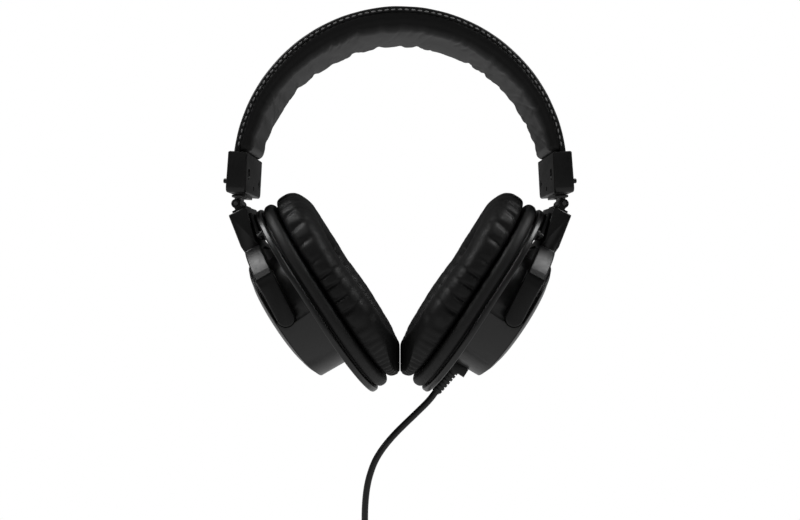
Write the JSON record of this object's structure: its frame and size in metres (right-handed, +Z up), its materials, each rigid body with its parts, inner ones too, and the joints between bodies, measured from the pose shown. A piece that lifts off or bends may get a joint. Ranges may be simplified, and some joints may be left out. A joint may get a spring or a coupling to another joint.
{
  "type": "over-ear headphones",
  "caption": "Closed-back over-ear headphones with a padded sewn headband, sliding, folding and swivelling yokes, oval leatherette ear cushions and a coiled cord with a mini jack",
  "frame": {"origin": "the middle of the headband pad's underside, where the object rests on the top of the head", "axes": "+Z up, +X towards the wearer's left, where the cord is, and -Y the way that the wearer faces"},
  "size_m": [0.1646, 0.0814, 0.3688],
  "materials": {
    "spring_steel": "fine brushed",
    "leatherette": "fine grained, satin",
    "pad_leatherette": "soft, wrinkled, satin",
    "satin_plastic": "satin moulded",
    "shell_plastic": "satin moulded, smooth",
    "soft_ring": "soft touch, matt",
    "matte_plastic": "matt moulded",
    "protein_leather": "smooth, soft, satin",
    "speaker_cloth": "fine knitted mesh",
    "boot_rubber": "matt moulded",
    "cable_jacket": "satin extruded",
    "wire_jacket": "satin",
    "tie_strap": "matt",
    "screw_steel": "black oxide",
    "magnet_plating": "nickel plated",
    "diaphragm_film": "thin clear film",
    "jack_plating": "gold plated"
  },
  "bodies": {
    "headband": {"headband_spring": "spring_steel", "headband_cover": "leatherette", "headband_pad": "pad_leatherette", "spring_rivets": "satin_plastic", "bridge_lead": "wire_jacket", "housing_screws": "screw_steel", "slider_housing_left": "satin_plastic", "housing_cover_left": "satin_plastic", "stop_pin_left": "screw_steel", "detent_spring_left": "spring_steel", "slider_housing_right": "satin_plastic", "housing_cover_right": "satin_plastic", "stop_pin_right": "screw_steel", "detent_spring_right": "spring_steel"},
    "slider_left": {"slider_strip_left": "spring_steel", "fold_pin_left": "screw_steel"},
    "hinge_left": {"hinge_block_left": "satin_plastic"},
    "yoke_left": {"yoke_left": "satin_plastic", "yoke_cover_left": "satin_plastic", "pivot_pins_left": "screw_steel"},
    "cup_left": {"back_shell_left": "shell_plastic", "outer_cap_left": "shell_plastic", "flange_ring_left": "shell_plastic", "baffle_ring_left": "soft_ring", "baffle_left": "matte_plastic", "driver_frame_left": "matte_plastic", "driver_magnet_left": "magnet_plating", "diaphragm_left": "diaphragm_film", "pad_cloth_left": "speaker_cloth", "ear_cushion_left": "protein_leather", "shell_screws_left": "screw_steel", "link_wire_left": "wire_jacket", "cord_socket": "satin_plastic", "strain_relief": "boot_rubber", "cord_lead": "cable_jacket", "cord_coil": "cable_jacket", "cord_tie": "tie_strap", "cord_tail": "cable_jacket", "plug_body": "boot_rubber", "plug_jack": "jack_plating"},
    "slider_right": {"slider_strip_right": "spring_steel", "fold_pin_right": "screw_steel"},
    "hinge_right": {"hinge_block_right": "satin_plastic"},
    "yoke_right": {"yoke_right": "satin_plastic", "yoke_cover_right": "satin_plastic", "pivot_pins_right": "screw_steel"},
    "cup_right": {"back_shell_right": "shell_plastic", "outer_cap_right": "shell_plastic", "flange_ring_right": "shell_plastic", "baffle_ring_right": "soft_ring", "baffle_right": "matte_plastic", "driver_frame_right": "matte_plastic", "driver_magnet_right": "magnet_plating", "diaphragm_right": "diaphragm_film", "pad_cloth_right": "speaker_cloth", "ear_cushion_right": "protein_leather", "shell_screws_right": "screw_steel", "link_wire_right": "wire_jacket"}
  },
  "joints": [
    {"name": "extend_left", "type": "slide", "parent": "headband", "child": "slider_left", "axis": [0.0576, 0, -0.9983], "range_m": [0, 0.02]},
    {"name": "fold_left", "type": "hinge", "parent": "slider_left", "child": "hinge_left", "pos_m": [0.07774, 0, -0.07954], "axis": [0, -1, 0], "range_deg": [0, 35]},
    {"name": "swivel_left", "type": "hinge", "parent": "hinge_left", "child": "yoke_left", "pos_m": [0.07774, 0, -0.07954], "axis": [-0.4571, 0, -0.8894], "range_deg": [-10, 10]},
    {"name": "tilt_left", "type": "hinge", "parent": "yoke_left", "child": "cup_left", "pos_m": [0.05078, 0, -0.13202], "axis": [0, -1, 0], "range_deg": [0, 8]},
    {"name": "extend_right", "type": "slide", "parent": "headband", "child": "slider_right", "axis": [-0.0576, 0, -0.9983], "range_m": [0, 0.02]},
    {"name": "fold_right", "type": "hinge", "parent": "slider_right", "child": "hinge_right", "pos_m": [-0.07774, 0, -0.07954], "axis": [0, 1, 0], "range_deg": [0, 35]},
    {"name": "swivel_right", "type": "hinge", "parent": "hinge_right", "child": "yoke_right", "pos_m": [-0.07774, 0, -0.07954], "axis": [0.4571, 0, -0.8894], "range_deg": [-10, 10]},
    {"name": "tilt_right", "type": "hinge", "parent": "yoke_right", "child": "cup_right", "pos_m": [-0.05078, 0, -0.13202], "axis": [0, 1, 0], "range_deg": [0, 8]}
  ]
}
